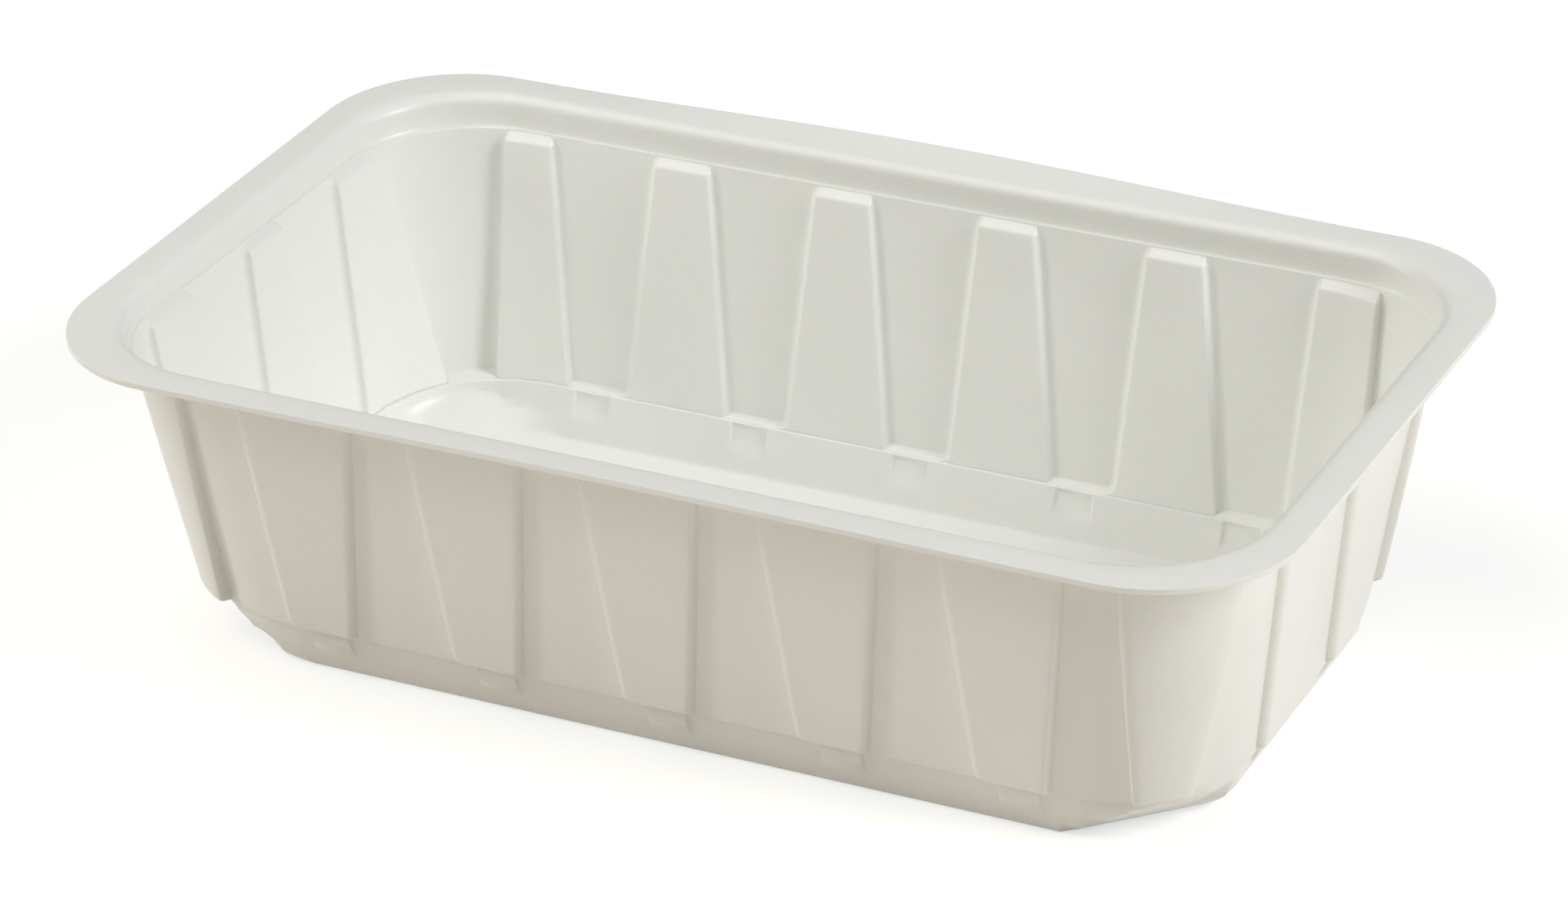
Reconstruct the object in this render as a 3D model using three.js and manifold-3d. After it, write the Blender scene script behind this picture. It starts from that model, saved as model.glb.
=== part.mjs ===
// One-compartment meal tray, formed from one thin sheet of cream-white plastic.
// Millimetres, +Z up. The origin is the centre of the base, on the surface it stands on.
// +X runs along the long side and -Y is the front long side.
import * as THREE from 'three';
import { ConvexGeometry } from 'three/addons/geometries/ConvexGeometry.js';
import { mergeVertices } from 'three/addons/utils/BufferGeometryUtils.js';
import Module from 'manifold-3d';

const wasm = await Module();
wasm.setup();

// Overall sizes of the trimmed flange
const length = 230;            // along X, over the flange
const width = 139;             // along Y, over the flange
const height = 63;             // from the base to the top of the flange
const flangeRadius = 26.2;     // plan radius of the flange's outer corners

// Sheet
const wall = 0.8;              // thickness of the formed walls and floor
const flangeSheet = 1.0;       // thickness of the flange, which is stretched least

// Flange, its rolled inner edge and the neck below it
const flangeFlat = 5.6;        // flat land, from the trimmed edge to the rolled edge
const rollRadius = 2.2;        // radius of the rolled edge, on the inside
const neckTaper = 0.3;         // how far the neck closes in on its way down
const neckHeight = 5.4;        // from the top of the flange to the ledge
const ledgeWidth = 0.5;        // small ledge between neck and wall
const ledgeDrop = 0.4;         // height of that ledge's slope
const mouthRadius = 25;        // plan radius of the neck's corners
const backLift = 1.9;          // the trimmed edge bows upwards at mid-length of the back
const frontLift = 0.5;         // and a little at the front

// Fluted wall
const footHeight = 9.7;        // the wall's lower edge, above the base
const longDraft = 9.4;         // how far a long wall leans in between ledge and foot
const shortDraft = 6.2;        // how far a short wall leans in
const wallRadius = 26.5;       // plan radius of the corner panels at the ledge
const footRadius = 23.5;       // the same at the foot
const fluteDepth = 1.5;        // step between a proud panel and a recess
const shelfDrop = 1.4;         // height of the sloped shelf above each recess
const recessRadius = 25.5;      // plan radius of the recessed wall's corners

// Proud panels of a long wall, seen from outside, about the middle of the wall
const longPanels = 5;
const longPitch = 33.15;
const longPanel = { leftTop: -10.2, leftFoot: -7.7, rightTop: 12.2, rightFoot: 5.2 };
const longShift = 1.1;         // both long rows of panels sit this far towards +X

// Proud panels of a short wall, seen from outside
const shortPanels = 2;
const shortPitch = 32.4;
const shortPanel = { leftTop: -12.2, leftFoot: -7.9, rightTop: 8.6, rightFoot: 5.0 };

// Corner panels: where their two edges lie on the long and on the short wall
const cornerOnLong = { leftTop: 88.8, leftFoot: 87.4, rightTop: 88.4, rightFoot: 88.9 };
const cornerOnShort = { leftTop: 38.4, leftFoot: 38.8, rightTop: 43.4, rightFoot: 43.0 };

const leftSideSlope = 0.3;     // sideways run of a panel's left side face per mm of depth
const rightSideSlope = 0.6;    // the same for its right side face
const panelCorner = 2.2;       // rounding of a panel's lower left corner

// Chamfered foot and base
const baseLength = 189.5;
const baseWidth = 94.2;
const baseCut = 21.2;          // leg of the 45 degree cut at each corner of the base
const baseRadius = 14;         // plan radius of the chamfer at the base, before that cut
const cutReach = 0.85;         // how far up the chamfer the corner facet reaches

// Stacking blocks on the chamfer, one under each panel
const blockProud = 0.9;        // how far a block stands out of the chamfer
const blockShare = 0.5;        // share of the chamfer's height that it covers
const blockLeft = 2.4;         // its left end, from the panel's left edge
const blockRight = 1.5;        // its right end, from the panel's right edge

const cornerSteps = 10;        // straight steps in a quarter turn of the outlines
const rollSteps = 4;           // steps in the rolled edge
const flangeSteps = 24;        // steps along a long edge of the flange
const blendSteps = 3;          // steps in the rounding of a panel's corner

// Room that the cutting wedges leave on each side of the sheet
const wedgeClear = 2;          // they start this far outside the wall
const wedgePast = 6;           // and end this far behind a recess, still clear of the middle
const overlap = 0.6;           // how far the flange and the neck run into each other

const material = new THREE.MeshStandardMaterial({ color: 0xe6e3d8, roughness: 0.42, metalness: 0 });

// Levels and insets that follow from the sizes above
const ledgeLevel = height - neckHeight;
const wallLevel = ledgeLevel - ledgeDrop;
const neckInset = flangeFlat + rollRadius - wall;
const wallInset = neckInset + neckTaper + ledgeWidth;
const wallRun = wallLevel - footHeight;

// A rounded rectangle at one level, set in from the flange's outline on X and on Y
function ring(insetX, insetY, radius, z) {
  const points = [];
  const halfX = length / 2 - insetX;
  const halfY = width / 2 - insetY;
  for (const [sx, sy, start] of [[1, 1, 0], [-1, 1, 90], [-1, -1, 180], [1, -1, 270]]) {
    for (let i = 0; i <= cornerSteps; i++) {
      const turn = THREE.MathUtils.degToRad(start + (90 * i) / cornerSteps);
      points.push(new THREE.Vector3(
        sx * (halfX - radius) + radius * Math.cos(turn),
        sy * (halfY - radius) + radius * Math.sin(turn), z));
    }
  }
  return points;
}

// A manifold solid from a closed three.js geometry
function solid(geometry) {
  geometry.deleteAttribute('normal');
  geometry.deleteAttribute('uv');
  const merged = mergeVertices(geometry, 1e-4);
  return new wasm.Manifold(new wasm.Mesh({
    numProp: 3,
    vertProperties: merged.attributes.position.array,
    triVerts: Uint32Array.from(merged.index.array),
  }));
}

// The convex solid around some points
function hull(points) {
  return solid(new ConvexGeometry(points));
}

// Convex slices between successive rings, joined to one solid
function stack(rings) {
  let body = hull([...rings[0], ...rings[1]]);
  for (let i = 1; i < rings.length - 1; i++) {
    body = body.add(hull([...rings[i], ...rings[i + 1]]));
  }
  return body;
}

// How far the wall has leaned in at a level: 0 at the ledge and 1 at the foot
function lean(z) {
  return (wallLevel - z) / wallRun;
}

function wallRing(z, depth, radiusTop, radiusFoot) {
  const share = lean(z);
  return ring(wallInset + shortDraft * share + depth, wallInset + longDraft * share + depth,
    radiusTop + (radiusFoot - radiusTop) * share - depth, z);
}

// The wall at the face of the proud panels, and at the back of the recesses.
// gauge is 0 for the outside of the sheet and the wall thickness for its inside.
function proudWall(gauge) {
  return hull([...wallRing(wallLevel, gauge, wallRadius, footRadius),
    ...wallRing(footHeight + gauge, gauge, wallRadius, footRadius)]);
}

function recessedWall(gauge) {
  const depth = fluteDepth + gauge;
  return stack([
    wallRing(wallLevel, gauge, wallRadius, footRadius),
    wallRing(wallLevel - shelfDrop, depth, recessRadius + depth, recessRadius + depth),
    wallRing(footHeight, depth, recessRadius + depth, recessRadius + depth),
  ]);
}

// A wedge that takes one panel out of the proud wall. It is drawn on the wall seen from
// outside, where u runs to the right, and its side faces spread with depth.
function panelWedge(place, panel, gauge) {
  const points = [];
  const foot = footHeight + gauge;
  for (const depth of [-wedgeClear, fluteDepth + wedgePast]) {
    const left = gauge - leftSideSlope * depth;
    const right = -gauge + rightSideSlope * depth;
    const slopeLeft = (panel.leftFoot - panel.leftTop) / wallRun;
    const slopeRight = (panel.rightFoot - panel.rightTop) / wallRun;
    const leftAt = (z) => panel.leftTop + slopeLeft * (wallLevel - z) + left;
    const rightAt = (z) => panel.rightTop + slopeRight * (wallLevel - z) + right;
    points.push(place(leftAt(wallLevel), wallLevel, depth), place(rightAt(wallLevel), wallLevel, depth));
    points.push(place(rightAt(foot), foot, depth));
    for (let i = 0; i <= blendSteps; i++) {
      const turn = (Math.PI / 2) * (i / blendSteps);
      const z = foot + panelCorner * (1 - Math.sin(turn));
      points.push(place(leftAt(z) + panelCorner * (1 - Math.cos(turn)), z, depth));
    }
  }
  return hull(points);
}

// Where a point of a wall lies: u along it, z up, depth into it. The front and the right
// wall are drawn, and the back and the left wall are their copies turned by half a turn.
function onLongWall(turned) {
  const sign = turned ? -1 : 1;
  return (u, z, depth) => new THREE.Vector3(sign * u + longShift,
    sign * (-width / 2 + wallInset + longDraft * lean(z) + depth), z);
}

function onShortWall(turned) {
  const sign = turned ? -1 : 1;
  return (u, z, depth) => new THREE.Vector3(
    sign * (length / 2 - wallInset - shortDraft * lean(z) - depth), sign * u, z);
}

function shifted(panel, by) {
  return {
    leftTop: panel.leftTop + by,
    leftFoot: panel.leftFoot + by,
    rightTop: panel.rightTop + by,
    rightFoot: panel.rightFoot + by,
  };
}

// The panels of one row, as offsets along the wall
function row(count, pitch, panel) {
  return Array.from({ length: count }, (_, i) => shifted(panel, (i - (count - 1) / 2) * pitch));
}

// The wedge of a corner panel: it starts at its left edge on one wall, goes round the
// corner and ends at its right edge on the next wall.
function cornerWedge(onStart, onEnd, left, right, gauge) {
  const reach = footRadius + wedgePast;
  const points = [];
  for (const [z, leftAt, rightAt] of [[wallLevel, left.leftTop, right.rightTop],
    [footHeight + gauge, left.leftFoot, right.rightFoot]]) {
    for (const depth of [-wedgeClear, fluteDepth + wedgePast]) {
      points.push(onStart(leftAt + gauge - leftSideSlope * depth, z, depth));
      points.push(onEnd(rightAt - gauge + rightSideSlope * depth, z, depth));
    }
    const start = onStart(leftAt, z, -wedgeClear);
    const end = onEnd(rightAt, z, -wedgeClear);
    const corner = Math.abs(start.x) > Math.abs(end.x) ? [start.x, end.y] : [end.x, start.y];
    points.push(new THREE.Vector3(corner[0], corner[1], z));
    points.push(new THREE.Vector3(corner[0] - Math.sign(corner[0]) * reach,
      corner[1] - Math.sign(corner[1]) * reach, z));
  }
  return hull(points);
}

// All panels, as parts of the proud wall
function panels(gauge) {
  let wedges = null;
  const join = (wedge) => {
    wedges = wedges ? wedges.add(wedge) : wedge;
  };
  for (const turned of [false, true]) {
    const long = onLongWall(turned);
    const short = onShortWall(turned);
    const next = onLongWall(!turned);
    row(longPanels, longPitch, longPanel).forEach((panel) => join(panelWedge(long, panel, gauge)));
    row(shortPanels, shortPitch, shortPanel).forEach((panel) => join(panelWedge(short, panel, gauge)));
    join(cornerWedge(long, short,
      { leftTop: cornerOnLong.leftTop, leftFoot: cornerOnLong.leftFoot },
      { rightTop: -cornerOnShort.rightTop, rightFoot: -cornerOnShort.rightFoot }, gauge));
    join(cornerWedge(short, next,
      { leftTop: cornerOnShort.leftTop, leftFoot: cornerOnShort.leftFoot },
      { rightTop: -cornerOnLong.rightTop, rightFoot: -cornerOnLong.rightFoot }, gauge));
  }
  return proudWall(gauge).intersect(wedges);
}

// The chamfer below the wall. sink moves it inwards, or outwards for the blocks.
const chamferTopX = wallInset + shortDraft + fluteDepth;
const chamferTopY = wallInset + longDraft + fluteDepth;
const baseInsetX = (length - baseLength) / 2;
const baseInsetY = (width - baseWidth) / 2;

function chamferRing(z, sink) {
  const share = 1 - z / footHeight;
  return ring(chamferTopX + (baseInsetX - chamferTopX) * share + sink,
    chamferTopY + (baseInsetY - chamferTopY) * share + sink,
    recessRadius + (baseRadius - recessRadius) * share, z);
}

// The flat facets that cut the chamfer's corners: all that lies inside |x| + |y| = reach
const cutAtBase = (baseLength + baseWidth) / 2 - baseCut;

function cornerSum(radius, insetX, insetY) {
  return (length + width) / 2 - insetX - insetY - radius * (2 - Math.SQRT2);
}

function insideFacets(gauge) {
  const top = footHeight * cutReach;
  const sheet = gauge * (Math.SQRT2 + blockProud);
  const ringSum = cornerSum(recessRadius, chamferTopX, chamferTopY);
  const slope = (ringSum - cutAtBase) / top;
  const points = [];
  for (const z of [gauge, footHeight]) {
    const reach = cutAtBase + slope * z - sheet;
    points.push(new THREE.Vector3(reach, 0, z), new THREE.Vector3(-reach, 0, z));
    points.push(new THREE.Vector3(0, reach, z), new THREE.Vector3(0, -reach, z));
  }
  return hull(points);
}

function chamfer(gauge) {
  const shape = hull([...chamferRing(footHeight, gauge), ...chamferRing(gauge, gauge)]);
  return shape.intersect(insideFacets(gauge));
}

// The blocks: slices of a chamfer that stands a little further out
function blocks(gauge) {
  const low = footHeight * (1 - blockShare) + gauge;
  const sleeve = hull([...chamferRing(footHeight + gauge, gauge - blockProud),
    ...chamferRing(low, gauge - blockProud)]);
  let slices = null;
  const join = (place, panel) => {
    const points = [];
    for (const z of [low, footHeight + gauge]) {
      for (const depth of [-wedgeClear, fluteDepth + wedgePast]) {
        points.push(place(panel.leftFoot + blockLeft + gauge, z, depth));
        points.push(place(panel.rightFoot - blockRight - gauge, z, depth));
      }
    }
    const slice = hull(points);
    slices = slices ? slices.add(slice) : slice;
  };
  for (const turned of [false, true]) {
    row(longPanels, longPitch, longPanel).forEach((panel) => join(onLongWall(turned), panel));
    row(shortPanels, shortPitch, shortPanel).forEach((panel) => join(onShortWall(turned), panel));
  }
  return sleeve.intersect(slices);
}

// The neck: straight on the outside, with the rolled edge on the inside
function neck(gauge) {
  const inset = neckInset + gauge;
  const radius = mouthRadius - gauge;
  const low = [
    ring(inset + neckTaper, inset + neckTaper, radius, ledgeLevel),
    ring(wallInset + gauge, wallInset + gauge, radius, wallLevel),
  ];
  if (gauge === 0) {
    const start = flangeFlat - overlap;
    const land = stack([ring(start, start, mouthRadius, height),
      ring(start, start, mouthRadius, height - flangeSheet)]);
    return land.add(stack([ring(inset, inset, radius, height - flangeSheet / 2), ...low]));
  }
  const roll = [];
  for (let i = 0; i <= rollSteps; i++) {
    const turn = (Math.PI / 2) * (i / rollSteps);
    const x = flangeFlat + rollRadius * Math.sin(turn);
    roll.push(ring(x, x, radius, height - rollRadius * (1 - Math.cos(turn))));
  }
  const above = ring(flangeFlat, flangeFlat, radius, height + 1);
  return stack([above, ...roll, ...low]);
}

// Everything inside the sheet's outer face (gauge 0) or inside its inner face
function formed(gauge) {
  return neck(gauge).add(recessedWall(gauge)).add(panels(gauge)).add(chamfer(gauge)).add(blocks(gauge));
}

// The flange: a flat frame with rounded corners whose trimmed edge bows up a little
function flange() {
  const outline = (inset, radius) => {
    const points = [];
    const corners = ring(inset, inset, radius, 0);
    corners.forEach((point, i) => {
      points.push(new THREE.Vector2(point.x, point.y));
      const next = corners[(i + 1) % corners.length];
      if (Math.abs(next.x - point.x) > length / 4) {
        for (let k = 1; k < flangeSteps; k++) {
          points.push(new THREE.Vector2(point.x + ((next.x - point.x) * k) / flangeSteps, point.y));
        }
      }
    });
    return points;
  };
  const shape = new THREE.Shape(outline(0, flangeRadius));
  shape.holes.push(new THREE.Path(outline(flangeFlat, mouthRadius)));
  const plate = new THREE.ExtrudeGeometry(shape, { depth: flangeSheet, bevelEnabled: false });
  plate.translate(0, 0, height - flangeSheet);
  const position = plate.attributes.position;
  const bowed = length / 2 - flangeRadius;
  for (let i = 0; i < position.count; i++) {
    const along = Math.min(1, Math.abs(position.getX(i)) / bowed);
    const edge = Math.abs(position.getY(i)) > width / 2 - flangeFlat / 2 ? 1 : 0;
    const lift = position.getY(i) > 0 ? backLift : frontLift;
    position.setZ(i, position.getZ(i) + edge * lift * Math.cos((Math.PI / 2) * along) ** 2);
  }
  return solid(plate);
}

function buildTray() {
  const body = formed(0).subtract(formed(wall)).add(flange());
  const mesh = body.getMesh();
  const geometry = new THREE.BufferGeometry();
  geometry.setAttribute('position', new THREE.BufferAttribute(mesh.vertProperties, 3));
  geometry.setIndex(new THREE.BufferAttribute(mesh.triVerts, 1));
  geometry.computeVertexNormals();
  const tray = new THREE.Mesh(geometry, material);
  tray.name = 'tray';
  return tray;
}

const group = new THREE.Group();
group.add(buildTray());

export default group;
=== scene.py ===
import bpy
import math
import numpy as np
from mathutils import Euler, Matrix, Vector


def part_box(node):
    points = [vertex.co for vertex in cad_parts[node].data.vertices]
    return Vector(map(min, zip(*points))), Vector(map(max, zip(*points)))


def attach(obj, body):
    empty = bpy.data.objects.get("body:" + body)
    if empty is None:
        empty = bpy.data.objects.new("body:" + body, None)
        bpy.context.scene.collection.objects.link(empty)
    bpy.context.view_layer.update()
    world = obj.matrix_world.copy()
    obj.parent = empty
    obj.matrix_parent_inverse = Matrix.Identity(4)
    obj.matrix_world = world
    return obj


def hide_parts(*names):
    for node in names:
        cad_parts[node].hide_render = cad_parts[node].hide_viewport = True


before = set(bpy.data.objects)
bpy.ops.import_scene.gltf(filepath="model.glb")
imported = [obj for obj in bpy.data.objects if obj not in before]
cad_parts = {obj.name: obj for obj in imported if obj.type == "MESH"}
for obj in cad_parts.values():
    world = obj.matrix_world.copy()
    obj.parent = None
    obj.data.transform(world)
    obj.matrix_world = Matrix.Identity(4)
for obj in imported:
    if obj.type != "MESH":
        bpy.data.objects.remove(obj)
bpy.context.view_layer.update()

# Camera
# The photograph is taken with a long lens from the front right, a little above the rim,
# with the horizon tipped by one and a half degrees.
camera_turn = math.radians(26.366)       # round the tray, from the front towards the right
camera_rise = math.radians(27.698)
camera_roll = math.radians(-1.496)
camera_target = (-0.000857, 0.031176)    # right and up of the origin, in the picture's plane
camera_distance = 1.070978
camera_lens = 136.75

camera_data = bpy.data.cameras.new("Camera")
camera = bpy.data.objects.new("Camera", camera_data)
bpy.context.scene.collection.objects.link(camera)
camera_data.lens = camera_lens
camera_data.sensor_width = 36.0
camera_data.clip_start = 0.05
camera_data.clip_end = 20.0
aim = (Euler((math.pi / 2 - camera_rise, 0.0, camera_turn)).to_matrix()
       @ Matrix.Rotation(camera_roll, 3, "Z"))
camera.matrix_world = aim.to_4x4()
camera.location = aim @ Vector((*camera_target, camera_distance))
bpy.context.scene.camera = camera

# Tray: the outline of the mould
# The real piece is one sheet of cream-white plastic, drawn over a mould and trimmed at the
# flange. Its sizes are in millimetres, and its three overall sizes come from the frame.
mm = 0.001
box_low, box_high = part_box("tray")
length = (box_high[0] - box_low[0]) / mm
width = (box_high[1] - box_low[1]) / mm
back_lift = 1.9              # the trimmed edge bows up at mid-length of the back
front_lift = 0.5
height = (box_high[2] - box_low[2]) / mm - back_lift      # of the flange's flat land

sheet = 0.8                  # the gauge that the mould's neck allows for
wall_sheet = 0.55            # the sheet is drawn thinner in the walls
flange_sheet = 1.0
flange_radius = 26.2
flange_flat = 5.6            # flat land of the flange
roll_radius = 2.2            # rolled inner edge, seen from above
mouth_radius = 25.0
neck_taper = 0.3
neck_height = 5.4
ledge_width = 0.5
ledge_drop = 0.4

foot = 9.7                   # level of the wall's lower edge
long_draft = 9.4
short_draft = 6.2
wall_radius = 26.5
foot_radius = 23.5
recess_radius = 25.5
flute_depth = 1.5
shelf_gap = 0.3              # the recesses start this far under the ledge
shelf_drop = 1.3             # height of the sloped shelf above each recess
shelf_crest, shelf_root = 0.6, 0.4

base_length = 189.5
base_width = 94.2
base_cut, far_base_cut = 21.2, 19.4      # the front left and back right corners are cut less
base_radius = 14.0
cut_reach, far_cut_reach = 0.85, 0.9     # how far up the chamfer the facets go
base_round = 0.9             # rounding between chamfer and base

ledge_level = height - neck_height
wall_level = ledge_level - ledge_drop
neck_inset = flange_flat + roll_radius - sheet
wall_inset = neck_inset + neck_taper + ledge_width

# Tray: the columns of the sheet
# Seen from outside, each wall has proud trapezoid panels between narrow recesses. A column
# of the mesh runs down each side face and fillet, so that the slanted edges stay crisp.
long_row = [(i - 2) * 33.15 for i in range(5)]
short_row = [(i - 0.5) * 32.4 for i in range(2)]
long_panel = {"left": (-10.2, -7.7), "right": (12.2, 5.2)}      # at the ledge and at the foot
short_panel = {"left": (-12.2, -7.9), "right": (8.6, 5.0)}
corner_long_left, corner_long_right = (87.6, 86.1), (-88.4, -88.9)
corner_short_left, corner_short_right = (38.4, 38.8), (-43.4, -43.0)
long_shift = 1.1             # both long walls' panels sit this far towards +X
side_run = 0.45              # sideways run of a panel's side faces
crest_left, crest_right, root_fillet = 1.8, 1.2, 0.15
panel_corner = 2.0           # rounding of a panel's lower left corner
block_left, block_right = 3.6, 1.5       # a stacking block ends this far inside its panel
block_soft = 0.25            # half the run of a block's side faces
corner_columns = 18


def step_profile(run, drop, crest, root, arcs=3):
    """Points across a step, from its top to its bottom: how far along and how far down."""
    slope = math.atan2(drop, run)
    crest_reach, root_reach = crest * math.tan(slope / 2), root * math.tan(slope / 2)
    points = []
    for i in range(arcs + 1):
        turn = slope * i / arcs
        points.append((crest * math.sin(turn) - crest_reach, crest * (1 - math.cos(turn))))
    for i in range(arcs + 1):
        turn = slope * (1 - i / arcs)
        points.append((run + root_reach - root * math.sin(turn),
                       drop - root * (1 - math.cos(turn))))
    return points


columns = []


def add_column(kind, top, low, depth=0.0, block=0.0, bulge=0.0):
    columns.append((kind, top, low, depth, block, bulge))


def add_left_edge(kind, top, low, bulge):
    for along, down in reversed(step_profile(side_run, flute_depth, crest_left, root_fillet)):
        add_column(kind, top - along, low - along, down / flute_depth, 0.0, bulge)


def add_right_edge(kind, top, low):
    for along, down in step_profile(side_run, flute_depth, crest_right, root_fillet):
        add_column(kind, top + along, low + along, down / flute_depth)


def add_recess(kind, start, end):
    for share in (0.3, 0.7):
        add_column(kind, start[0] + (end[0] - start[0]) * share,
                   start[1] + (end[1] - start[1]) * share, 1.0)


def add_panel(kind, place, panel):
    (left_top, left_low), (right_top, right_low) = panel["left"], panel["right"]
    add_left_edge(kind, place + left_top, place + left_low, 1.0)
    start, end = left_low + block_left, right_low - block_right
    # Each mark is a place at the foot, with how far the block stands out there and how much
    # the panel's rounded corner pushes it aside. At the ledge it keeps clear of the left edge.
    marks = [(start - block_soft, 0.0, 1.0), (start, 0.5, 1.0), (start + block_soft, 1.0, 1.0),
             ((start + end) / 2, 1.0, 0.3), (end - block_soft, 1.0, 0.0), (end, 0.5, 0.0),
             (end + block_soft, 0.0, 0.0)]
    for low, block, bulge in marks:
        low -= panel_corner * bulge
        share = (low - left_low) / (right_low - left_low)
        top = left_top + (right_top - left_top) * max(share, 0.06 + 0.04 * block)
        add_column(kind, place + top, place + low, 0.0, block, bulge)
    add_right_edge(kind, place + right_top, place + right_low)


def add_wall(kind, row, panel, start, end):
    add_right_edge(kind, *start)
    before = start
    for place in row:
        left = (place + panel["left"][0], place + panel["left"][1])
        add_recess(kind, before, left)
        add_panel(kind, place, panel)
        before = (place + panel["right"][0], place + panel["right"][1])
    add_recess(kind, before, end)
    add_left_edge(kind, *end, 0.0)


def add_corner(kind):
    for i in range(corner_columns):
        share = (i + 1) / (corner_columns + 1)
        add_column(kind, share, share)


add_wall("long", long_row, long_panel, corner_long_right, corner_long_left)
add_corner("near")
add_wall("short", short_row, short_panel, corner_short_right, corner_short_left)
add_corner("far")

kinds = np.array([column[0] for column in columns])
at_top, at_low, depths, blocks, bulges = (
    np.array([column[k] for column in columns]) for k in range(1, 6))
is_long, is_short = kinds == "long", kinds == "short"
is_near = kinds == "near"

# Tray: the rows of the sheet
# Each row is one level of the formed sheet, from the trimmed edge of the flange down the
# neck and the wall, in over the chamfer and across the base.


def ring(side, inset_x, inset_y, radius, lean, bulge):
    """Where the columns of one half meet a rounded rectangle, as x and y in that half's view."""
    half_x, half_y = length / 2 - inset_x, width / 2 - inset_y
    along = at_top + (at_low - at_top) * lean + bulges * bulge
    along = np.where(is_long, along + side * long_shift, along)

    def reach(place, half, half_across):
        past = np.clip(np.abs(place) - (half - radius), 0.0, radius)
        return half_across - radius + np.sqrt(radius ** 2 - past ** 2)

    def swing(place, half):
        return math.asin(min(1.0, max(0.0, (place - half + radius) / radius)))

    def mark(pair):
        return abs(pair[0] + (pair[1] - pair[0]) * lean) + crest_left

    near_start = swing(mark(corner_long_left) + side * long_shift, half_x)
    near_end = math.pi / 2 - swing(mark(corner_short_right), half_y)
    far_start = math.pi / 2 - swing(mark(corner_short_left), half_y)
    far_end = swing(mark(corner_long_right) + side * long_shift, half_x)
    turn = np.where(is_near, near_start + (near_end - near_start) * at_top,
                    far_start + (far_end - far_start) * at_top)
    corner_x = half_x - radius + radius * np.sin(turn)
    corner_y = half_y - radius + radius * np.cos(turn)
    x = np.select([is_long, is_short], [along, reach(along, half_y, half_x)], corner_x)
    y = np.select([is_long, is_short, is_near], [-reach(along, half_x, half_y), along, -corner_y],
                  corner_y)
    return x, y


chamfer_x = wall_inset + short_draft + flute_depth
chamfer_y = wall_inset + long_draft + flute_depth
base_x, base_y = (length - base_length) / 2, (width - base_width) / 2
pivot_x = length / 2 - chamfer_x - recess_radius
pivot_y = width / 2 - chamfer_y - recess_radius
cut_at_foot = (length + width) / 2 - chamfer_x - chamfer_y - recess_radius * (2 - math.sqrt(2))
facet_soft = 0.5             # softness of the facets' edges
foot_step = 0.4              # the chamfer starts this far behind the recesses
block_proud = 0.6
block_share = 0.5            # the blocks reach this far down the chamfer


def chamfer_ring(side, level, pull, block):
    """The same on the chamfer, whose corners are cut by flat facets."""
    share = 1 - level / foot
    half_x = length / 2 - (chamfer_x + (base_x - chamfer_x) * share) - pull
    half_y = width / 2 - (chamfer_y + (base_y - chamfer_y) * share) - pull
    radius = recess_radius + (base_radius - recess_radius) * share
    x, y = ring(side, chamfer_x, chamfer_y, recess_radius, 1.0, panel_corner)
    cut_at_base = (base_length + base_width) / 2 - np.where(x * y > 0, far_base_cut, base_cut)
    reach = foot * np.where(x * y > 0, far_cut_reach, cut_reach)
    plane = cut_at_base + (cut_at_foot - cut_at_base) * level / reach
    plane -= pull * math.sqrt(2) + pivot_x + pivot_y
    off_x, off_y = np.abs(x) - pivot_x, np.abs(y) - pivot_y
    corner = (off_x > 0) & (off_y > 0)
    turn = np.arctan2(np.maximum(off_x, 1e-9), np.maximum(off_y, 1e-9))
    sine, cosine = np.sin(turn), np.cos(turn)
    centre_x, centre_y = half_x - radius - pivot_x, half_y - radius - pivot_y
    ahead = centre_x * sine + centre_y * cosine
    arc = ahead + np.sqrt(np.maximum(ahead ** 2 - centre_x ** 2 - centre_y ** 2 + radius ** 2, 0.0))
    to_y = (half_y - pivot_y) / np.maximum(cosine, 1e-6)
    to_x = (half_x - pivot_x) / np.maximum(sine, 1e-6)
    out = np.where(to_y * sine <= centre_x, to_y, np.where(to_x * cosine <= centre_y, to_x, arc))
    cut = plane / (sine + cosine)
    blend = np.clip(0.5 + 0.5 * (cut - out) / facet_soft, 0.0, 1.0)
    out = cut + (out - cut) * blend - facet_soft * blend * (1 - blend) * 0.5
    long_y = np.sign(y) * (half_y + block_proud * blocks * block)
    short_x = half_x + block_proud * blocks * block
    x_new = np.where(corner, np.sign(x) * (pivot_x + out * sine), np.where(is_short, short_x, x))
    y_new = np.where(corner, np.sign(y) * (pivot_y + out * cosine), np.where(is_short, y, long_y))
    return x_new, y_new


ledge_tilt = 1.1             # the ledge lies this much higher at the front and lower at the back
tilt_from, tilt_to = 30.0, 54.0          # levels between which that tilt dies out
rows = []                    # one entry per level: the points of both halves


def add_row(shape):
    halves = []
    for side in (1, -1):
        x, y, z = shape(side)
        halves.append(np.stack([side * x, side * y, z + np.zeros_like(x)], axis=1))
    rows.append(np.concatenate(halves))


def flange_row(inset, level, radius, tilt=0.0):
    def shape(side):
        x, y = ring(side, inset, inset, radius, 0.0, 0.0)
        along = np.minimum(1.0, np.abs(x) / (length / 2 - flange_radius))
        behind = side * y > 0
        lift = np.where(behind, back_lift, front_lift) * np.cos(math.pi / 2 * along) ** 2
        rise = lift * max(0.0, 1 - inset / flange_flat)
        return x, y, level + rise - ledge_tilt * tilt * side * y / (width / 2)
    add_row(shape)


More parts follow.
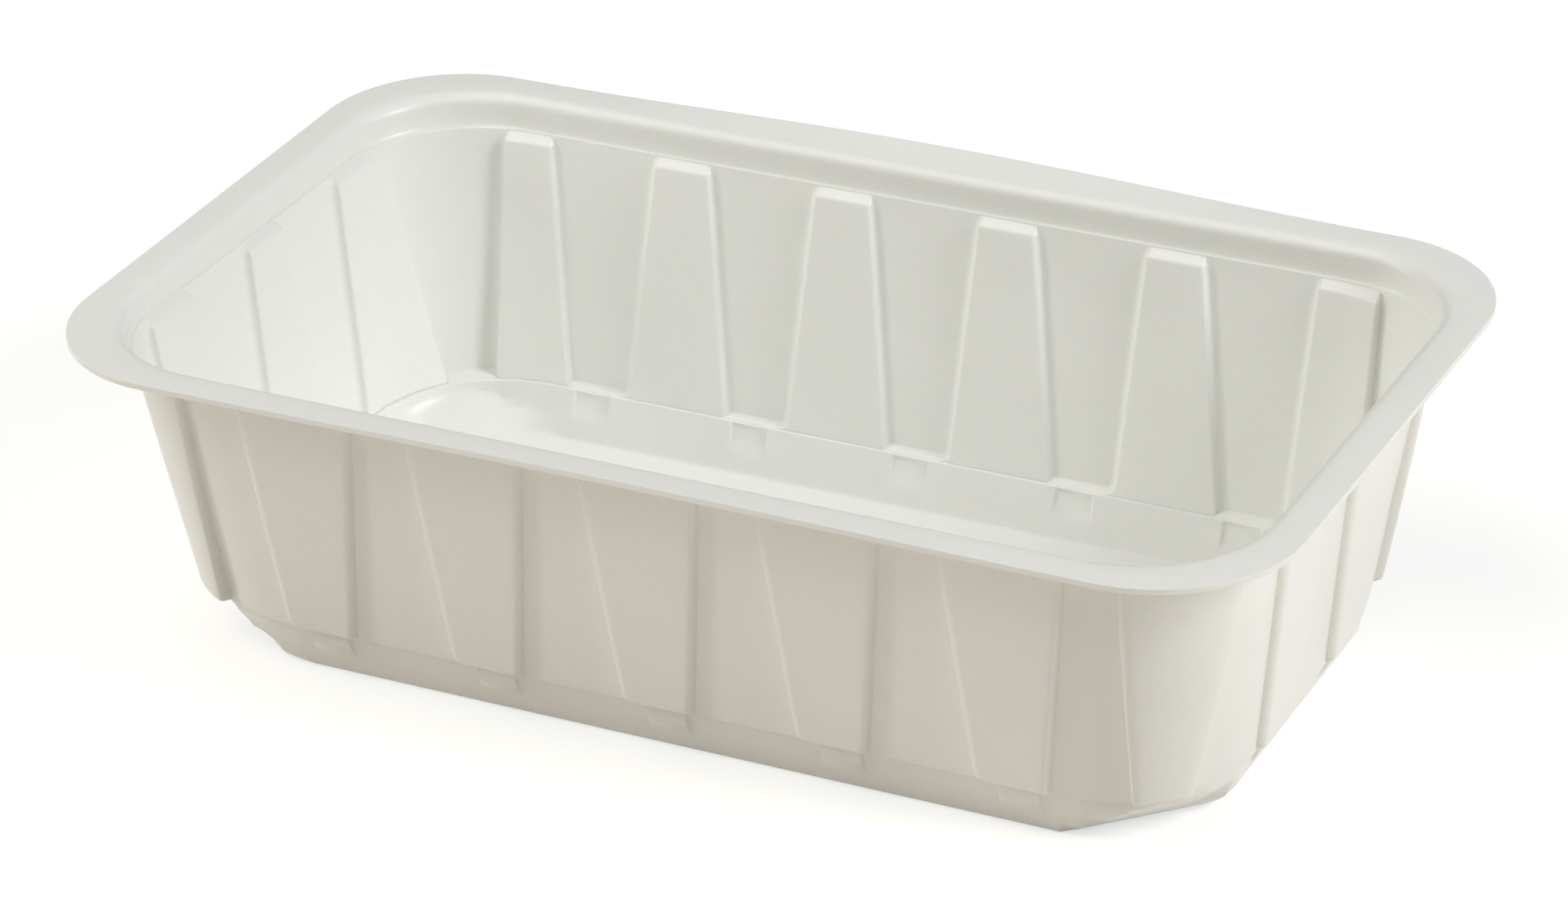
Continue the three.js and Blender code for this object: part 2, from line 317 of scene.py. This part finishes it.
def wall_row(level, recess, panel):
    """A level of the wall, where recess and panel say how far the flutes are formed."""
    def shape(side):
        lean = (wall_level - level) / (wall_level - foot)
        above = max(0.0, 1 - (level - foot) / panel_corner)
        bulge = panel_corner * (1 - math.sqrt(max(0.0, 1 - above ** 2)))
        inset_x, inset_y = wall_inset + short_draft * lean, wall_inset + long_draft * lean
        proud = wall_radius + (foot_radius - wall_radius) * lean
        proud_x, proud_y = ring(side, inset_x, inset_y, proud, lean, bulge)
        deep_radius = wall_radius + (recess_radius - wall_radius) * recess
        deep_x, deep_y = ring(side, inset_x + flute_depth, inset_y + flute_depth, deep_radius,
                              lean, bulge)
        depth = 1 - (1 - depths * recess) * panel
        x, y = proud_x + (deep_x - proud_x) * depth, proud_y + (deep_y - proud_y) * depth
        tilt = min(1.0, max(0.0, (level - tilt_from) / (tilt_to - tilt_from)))
        return x, y, level - ledge_tilt * tilt * side * y / (width / 2)
    add_row(shape)


def chamfer_row(level, pull=0.0, block=0.0):
    def shape(side):
        x, y = chamfer_ring(side, max(level, 0.0), pull, block)
        return x, y, level
    add_row(shape)


# The flange, its rolled inner edge, the neck and the ledge
for share in (0.0, 0.04, 0.5, 1.0):
    flange_row(flange_flat * share, height - flange_sheet,
               flange_radius + (mouth_radius - flange_radius) * share)
for i in range(1, 5):
    turn = math.pi / 2 * i / 4
    inset = flange_flat + (roll_radius - sheet) * math.sin(turn)
    level = height - roll_radius + (roll_radius - flange_sheet) * math.cos(turn)
    flange_row(inset, level, mouth_radius)
flange_row(neck_inset + neck_taper * 0.5, ledge_level + 1.6, mouth_radius + 0.6, 0.3)
flange_row(neck_inset + neck_taper, ledge_level + 0.7, wall_radius - 0.3, 1.0)
flange_row(neck_inset + neck_taper + 0.1, ledge_level + 0.3, wall_radius - 0.2, 1.0)
flange_row(wall_inset - 0.12, wall_level + 0.05, wall_radius, 1.0)

# The shelf above the recesses, the wall, and the panels' lower edges
shelf = step_profile(shelf_drop, flute_depth, shelf_crest, shelf_root)
for along, down in shelf:
    wall_row(wall_level - shelf_gap - along, down / flute_depth, 1.0)
shelf_end = wall_level - shelf_gap - shelf[-1][0]
corner_top = foot + panel_corner + 0.4
for share in (0.12, 0.3, 0.5, 0.7, 0.88, 1.0):
    wall_row(shelf_end + (corner_top - shelf_end) * share, 1.0, 1.0)
for share in (0.8, 0.6):
    wall_row(foot + panel_corner * share, 1.0, 1.0)
foot_slope, foot_crest = 0.45, 0.8       # the panels' lower edges
for along, down in step_profile(foot_slope, flute_depth, foot_crest, root_fillet):
    wall_row(foot + foot_slope - along, 1.0, 1 - down / flute_depth)

# The chamfer, with how far the blocks stand out at each level, its rounding, and the base
block_end = foot * (1 - block_share)
block_levels = ((foot - 0.35, 0.5), (8.9, 0.85), (8.4, 1.0), (7.4, 1.0),
                (block_end + 1.7, 0.9), (block_end + 0.9, 0.65), (block_end, 0.3),
                (block_end - 0.5, 0.1), (block_end - 1.0, 0.0))
for level, block in block_levels + ((3.0, 0.0), (2.0, 0.0), (base_round, 0.0)):
    chamfer_row(level, foot_step * (level - base_round) / (foot - base_round), block)
for i in range(1, 5):
    turn = math.pi / 2 * i / 4
    chamfer_row(base_round * (1 - math.sin(turn)), base_round * 0.7 * (1 - math.cos(turn)))
for share in (0.98, 0.9, 0.7, 0.4):
    rows.append(rows[-1] * (share, share, 1.0))

# Tray: the sheet itself
# A flat grid is the blank. It is drawn onto the mould's rows and columns, its ends are
# welded, the base is closed, and the sheet gets its thickness on the inner side.
for thing in bpy.context.selected_objects:
    thing.select_set(False)
count = rows[0].shape[0]
bpy.ops.mesh.primitive_grid_add(x_subdivisions=count, y_subdivisions=len(rows) - 1,
                                size=length * mm, location=(0.0, 0.0, 0.0))
tray = bpy.context.object
tray.name = "formed_tray"
drawn = np.array([np.concatenate([row, row[:1]]) for row in rows]).reshape(-1, 3) * mm
tray.data.vertices.foreach_set("co", drawn.ravel())
tray.data.update()

bpy.ops.object.mode_set(mode="EDIT")
bpy.ops.mesh.select_mode(type="VERT")
bpy.ops.mesh.select_all(action="SELECT")
bpy.ops.mesh.remove_doubles(threshold=0.000002)
bpy.ops.mesh.select_all(action="DESELECT")
bpy.ops.object.mode_set(mode="OBJECT")
inner_edge = {tuple(np.round(point * mm, 6)) for point in rows[-1]}
for vertex in tray.data.vertices:
    vertex.select = tuple(np.round(vertex.co, 6)) in inner_edge
bpy.ops.object.mode_set(mode="EDIT")
bpy.ops.mesh.edge_face_add()
bpy.ops.mesh.select_all(action="SELECT")
bpy.ops.mesh.normals_make_consistent(inside=False)
bpy.ops.object.mode_set(mode="OBJECT")

middle_face = max(tray.data.polygons, key=lambda face: face.area)
if middle_face.normal.z > 0:
    tray.data.flip_normals()

thick = tray.vertex_groups.new(name="flange")
for vertex in tray.data.vertices:
    if vertex.co.z > (height - roll_radius) * mm:
        thick.add([vertex.index], 1.0, "REPLACE")
gauge = tray.modifiers.new("gauge", "SOLIDIFY")
gauge.thickness = flange_sheet * mm
gauge.offset = -1.0
gauge.vertex_group = thick.name
gauge.thickness_vertex_group = wall_sheet / flange_sheet
gauge.use_even_offset = True
bpy.ops.object.modifier_apply(modifier=gauge.name)
bpy.ops.object.shade_smooth_by_angle(angle=math.radians(38.0))
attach(tray, "root")
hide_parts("tray")

# Tray: the plastic
# Cream-white filled plastic with a satin skin. The drawn sheet is faintly uneven, and the
# skin is a little duller where the sheet was stretched most.


class Value:
    """A socket that Python's operators can reach."""

    def __init__(self, tree, socket):
        self.tree, self.socket = tree, socket

    def node(self, kind, settings=None, inputs=None):
        made = self.tree.nodes.new(kind)
        for key, setting in (settings or {}).items():
            setattr(made, key, setting)
        for key, given in (inputs or {}).items():
            if isinstance(given, Value):
                self.tree.links.new(given.socket, made.inputs[key])
            else:
                made.inputs[key].default_value = given
        return made

    def out(self, made, key=0):
        return Value(self.tree, made.outputs[key])

    def math(self, operation, first, second):
        return self.out(self.node("ShaderNodeMath", {"operation": operation}, {0: first, 1: second}))

    def __add__(self, other):
        return self.math("ADD", self, other)

    def __mul__(self, other):
        return self.math("MULTIPLY", self, other)

    __radd__ = __add__
    __rmul__ = __mul__


plastic = bpy.data.materials.new("cream plastic")
plastic.use_nodes = True
tree = plastic.node_tree
shader = tree.nodes["Principled BSDF"]
coordinates = tree.nodes.new("ShaderNodeTexCoord")
place = Value(tree, coordinates.outputs["Object"])

draw_marks = place.out(place.node("ShaderNodeTexNoise", {}, {
    "Vector": place, "Scale": 55.0, "Detail": 2.0, "Roughness": 0.4}), "Fac")
skin_grain = place.out(place.node("ShaderNodeTexNoise", {}, {
    "Vector": place, "Scale": 2600.0, "Detail": 2.0, "Roughness": 0.6}), "Fac")
deep_cream, light_cream = (0.875, 0.874, 0.838, 1.0), (0.895, 0.896, 0.868, 1.0)
tint = place.node("ShaderNodeMix", {"data_type": "RGBA"}, {
    "Factor": draw_marks, 6: deep_cream, 7: light_cream})
tree.links.new(tint.outputs[2], shader.inputs["Base Color"])
roughness = 0.27 + draw_marks * 0.06 + skin_grain * 0.04
tree.links.new(roughness.socket, shader.inputs["Roughness"])
relief = draw_marks * 0.8 + skin_grain * 0.02
bump = place.node("ShaderNodeBump", {}, {"Strength": 0.35, "Distance": 0.0004, "Height": relief})
tree.links.new(bump.outputs["Normal"], shader.inputs["Normal"])
shader.inputs["IOR"].default_value = 1.48
shader.inputs["Subsurface Weight"].default_value = 0.5
shader.inputs["Subsurface Radius"].default_value = (1.0, 0.82, 0.58)
shader.inputs["Subsurface Scale"].default_value = 0.0006
tray.data.materials.clear()
tray.data.materials.append(plastic)

# Floor and light
# A white table that runs out of the picture. One soft box stands high on the right, a wide one
# hangs over the front left, and a narrow one on the left draws the thin lights on the panels'
# slanted edges. The room fills from all sides, so the shadow on the table is short and faint.
bpy.ops.mesh.primitive_plane_add(size=12.0, location=(0.0, 0.0, 0.0))
floor = bpy.context.object
floor.name = "floor"
floor_white = bpy.data.materials.new("white table")
floor_white.use_nodes = True
floor_tree = floor_white.node_tree
floor_shader = floor_tree.nodes["Principled BSDF"]
floor_shader.inputs["Base Color"].default_value = (0.77, 0.715, 0.64, 1.0)
floor_shader.inputs["Roughness"].default_value = 0.9
floor_shader.inputs["Specular IOR Level"].default_value = 0.1
floor_shader.inputs["Emission Color"].default_value = (0.86, 0.925, 0.99, 1.0)
rays = floor_tree.nodes.new("ShaderNodeLightPath")
seen, mirrored, through = (
    Value(floor_tree, rays.outputs[name])
    for name in ("Is Camera Ray", "Is Glossy Ray", "Is Transmission Ray"))
lift = (seen + mirrored + through) * 0.56
floor_tree.links.new(lift.socket, floor_shader.inputs["Emission Strength"])
floor.data.materials.append(floor_white)

world = bpy.data.worlds.new("studio")
bpy.context.scene.world = world
world.use_nodes = True
world.node_tree.nodes["Background"].inputs["Color"].default_value = (0.985, 1.0, 0.98, 1.0)
world.node_tree.nodes["Background"].inputs["Strength"].default_value = 0.17


def soft_box(name, place, target, across, power, colour):
    lamp_data = bpy.data.lights.new(name, "AREA")
    lamp_data.shape = "RECTANGLE"
    lamp_data.size, lamp_data.size_y = across
    lamp_data.energy = power
    lamp_data.color = colour
    lamp = bpy.data.objects.new(name, lamp_data)
    lamp.location = place
    facing = Vector(target) - Vector(place)
    lamp.rotation_euler = facing.to_track_quat("-Z", "Y").to_euler()
    bpy.context.scene.collection.objects.link(lamp)


soft_box("key", (1.5, 0.08, 0.95), (0.0, 0.0, 0.03), (0.5, 0.9), 17.5, (0.985, 1.0, 1.02))
soft_box("ceiling", (-0.5, -0.5, 1.3), (0.0, 0.0, 0.03), (1.4, 1.2), 10.0, (1.0, 0.995, 0.96))
soft_box("left", (-1.3, -0.62, 0.6), (0.0, 0.0, 0.03), (0.1, 0.7), 5.0, (1.0, 0.97, 0.92))

bpy.context.scene.view_settings.view_transform = "Standard"
